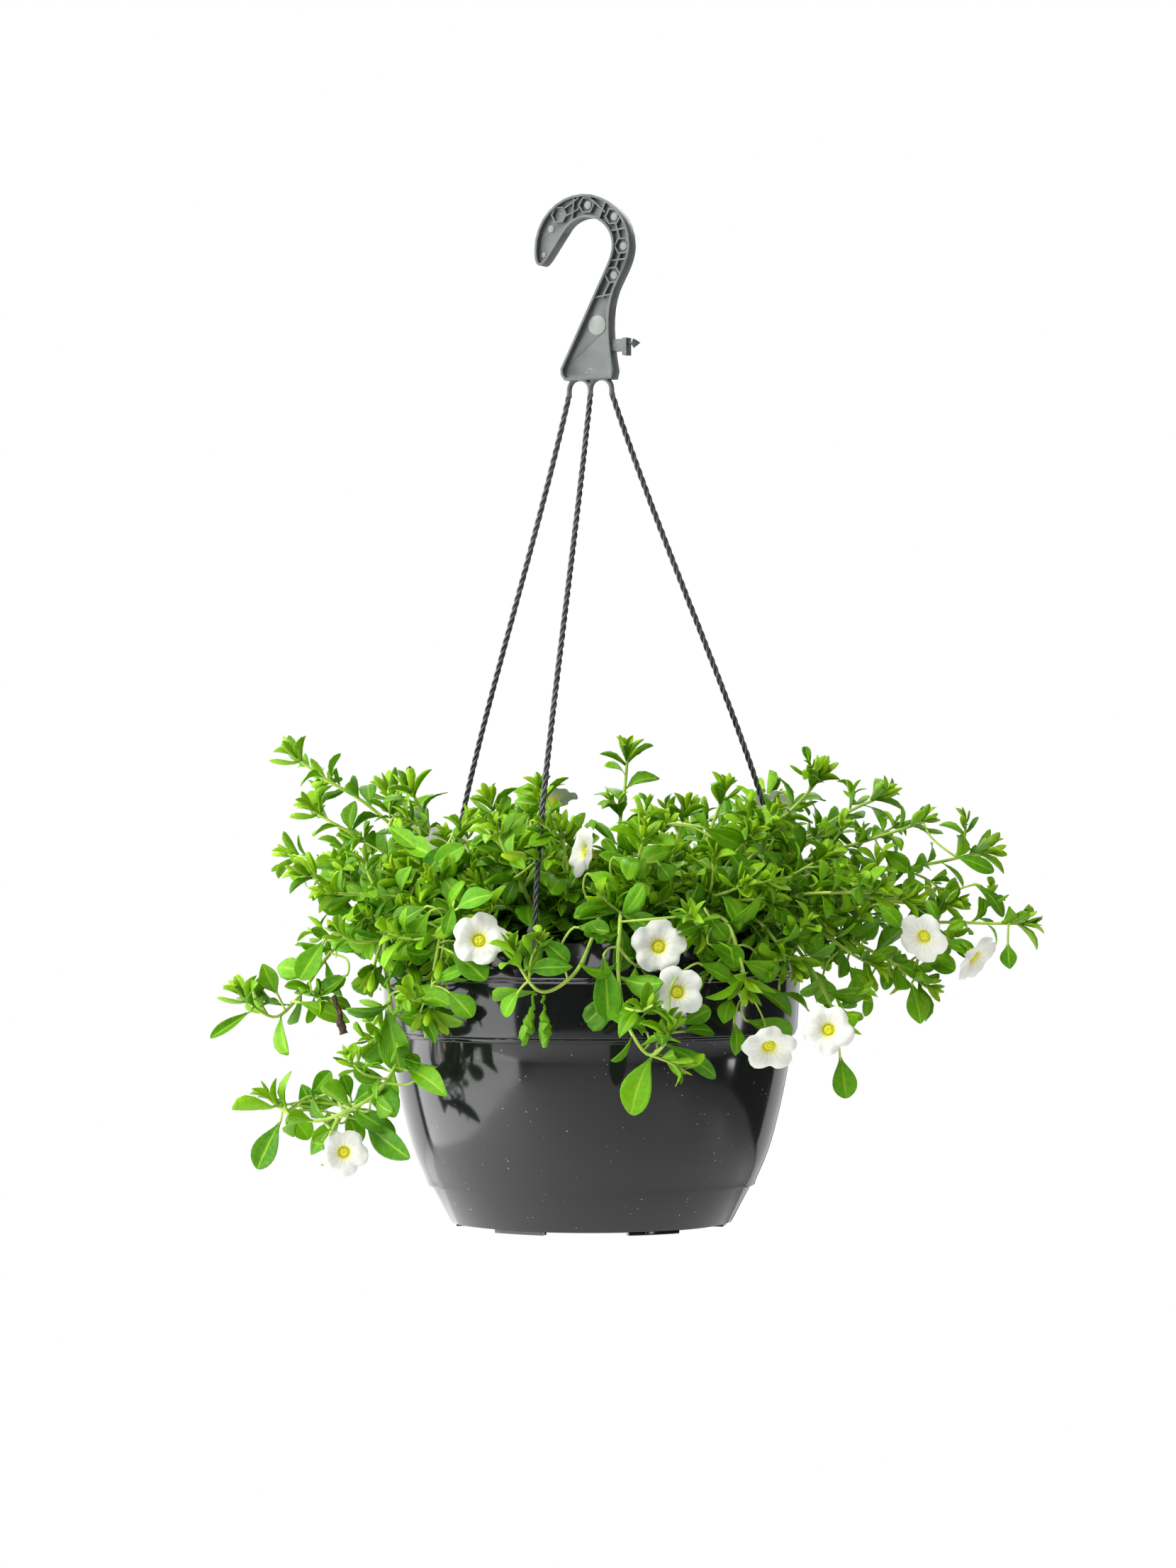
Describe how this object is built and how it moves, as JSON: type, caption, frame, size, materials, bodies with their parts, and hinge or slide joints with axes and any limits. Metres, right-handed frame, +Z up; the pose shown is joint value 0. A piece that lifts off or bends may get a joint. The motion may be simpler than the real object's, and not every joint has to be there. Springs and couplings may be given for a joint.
{
  "type": "calibrachoa hanging basket",
  "caption": "Round glossy hanging pot with a click-on saucer and a moulded hook hanger, planted with a white-flowered trailing calibrachoa.",
  "frame": {"origin": "the seat inside the top of the hook's bend, where the basket hangs on its bar", "axes": "+Z up along the pot's axis, -Y the front, +X to the right seen from the front"},
  "size_m": [0.4919, 0.3765, 0.6315],
  "materials": {
    "pot_plastic": "glossy moulded polypropylene, anthracite",
    "hanger_plastic": "satin moulded polypropylene, dark grey",
    "potting_soil": "moist peat",
    "foliage": "soft green leaf with fine hairs",
    "petals": "matt white petal with a yellow throat"
  },
  "bodies": {
    "root": {"pot": "pot_plastic", "saucer": "pot_plastic", "hanger_hook": "hanger_plastic", "hanger_strand_front": "hanger_plastic", "hanger_strand_right": "hanger_plastic", "hanger_strand_left": "hanger_plastic", "soil": "potting_soil", "shoot_01": "foliage", "shoot_02": "foliage", "shoot_03": "foliage", "shoot_04": "foliage", "shoot_05": "foliage", "shoot_06": "foliage", "shoot_07": "foliage", "shoot_08": "foliage", "shoot_09": "foliage", "shoot_10": "foliage", "shoot_11": "foliage", "shoot_12": "foliage", "shoot_13": "foliage", "shoot_14": "foliage", "shoot_15": "foliage", "shoot_16": "foliage", "shoot_17": "foliage", "shoot_18": "foliage", "shoot_19": "foliage", "shoot_20": "foliage", "shoot_21": "foliage", "shoot_22": "foliage", "shoot_23": "foliage", "shoot_24": "foliage", "shoot_25": "foliage", "shoot_26": "foliage", "shoot_27": "foliage", "shoot_28": "foliage", "shoot_29": "foliage", "shoot_30": "foliage", "shoot_31": "foliage", "shoot_32": "foliage", "shoot_33": "foliage", "shoot_34": "foliage", "shoot_35": "foliage", "shoot_36": "foliage", "shoot_37": "foliage", "flower_01": "petals", "flower_02": "petals", "flower_03": "petals", "flower_04": "petals", "flower_05": "petals", "flower_06": "petals", "flower_07": "petals", "flower_08": "petals", "flower_09": "petals", "flower_10": "petals", "flower_11": "petals", "flower_12": "petals", "flower_13": "petals", "flower_14": "petals"}
  },
  "joints": []
}
